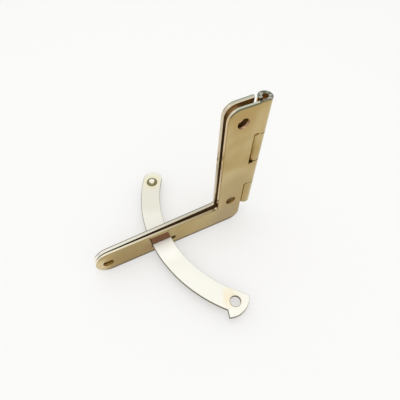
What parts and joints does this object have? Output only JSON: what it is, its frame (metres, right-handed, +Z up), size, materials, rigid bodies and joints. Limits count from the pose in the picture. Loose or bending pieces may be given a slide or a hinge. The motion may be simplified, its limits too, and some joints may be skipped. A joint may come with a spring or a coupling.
{
  "type": "box hinge",
  "caption": "L-shaped brass hinge for a small box, with leaves on one rolled-knuckle pin and a curved slotted-through stay that holds the lid upright.",
  "frame": {"origin": "midway between the two screw holes in the box leaf's leg, on that leaf's outer face", "axes": "+Z up the leg along the pin, -Y out of the box leaf's outer face, +X across the leaf towards the pin"},
  "size_m": [0.0484, 0.053, 0.0443],
  "materials": {
    "box_leaf": "polished plate",
    "lid_leaf": "polished plate",
    "hinge_pin": "drawn wire",
    "quadrant_stay": "bright polished plate",
    "stop_rivet": "bright polished plate"
  },
  "bodies": {
    "box_side": {"box_leaf": "box_leaf", "hinge_pin": "hinge_pin"},
    "lid_side": {"lid_leaf": "lid_leaf"},
    "stay": {"quadrant_stay": "quadrant_stay", "stop_rivet": "stop_rivet"}
  },
  "joints": [
    {"name": "lid_swing", "type": "hinge", "parent": "box_side", "child": "lid_side", "pos_m": [0.0057, 0.00172, 0], "axis": [0, 0, -1], "range_deg": [0, 95.6]},
    {"name": "stay_slide", "type": "hinge", "parent": "box_side", "child": "stay", "pos_m": [0.00553, -0.00232, 0], "axis": [0, 0, -1], "range_deg": [0, 53.5]}
  ],
  "couplings": [
    {"joint": "stay_slide", "follows": "lid_swing", "ratio": 0.5593}
  ]
}
